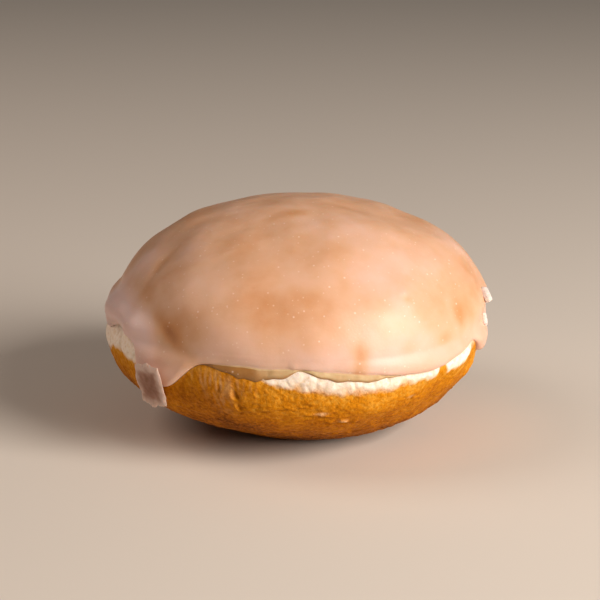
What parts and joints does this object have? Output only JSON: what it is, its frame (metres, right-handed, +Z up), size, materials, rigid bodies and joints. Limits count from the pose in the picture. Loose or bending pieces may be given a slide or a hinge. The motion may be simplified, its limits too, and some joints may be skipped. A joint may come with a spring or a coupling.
{
  "type": "iced doughnut without a hole",
  "caption": "Round fried yeast doughnut without a hole, its upper half dipped in a thin coat of sugar icing with one long run down the side; stands on its flat foot.",
  "frame": {"origin": "centre of the flat foot under the dough, on the surface that the doughnut rests on", "axes": "+Z up through the crown of the icing; -Y towards the side with the most even icing edge; the long icing run is at -X -Y"},
  "size_m": [0.0871, 0.0867, 0.0514],
  "materials": {
    "fried_dough": "golden-brown fried crust, mottled and finely pored, with a pale ring of dough under the icing",
    "sugar_icing": "set sugar icing, satin, a little see-through, pale and thick along its edge",
    "dry_icing": "dry broken sugar icing, pale and slightly rough"
  },
  "bodies": {
    "root": {"dough": "fried_dough", "icing": "sugar_icing", "icing_flake": "dry_icing", "icing_chip": "dry_icing", "icing_crumb": "dry_icing"}
  },
  "joints": []
}
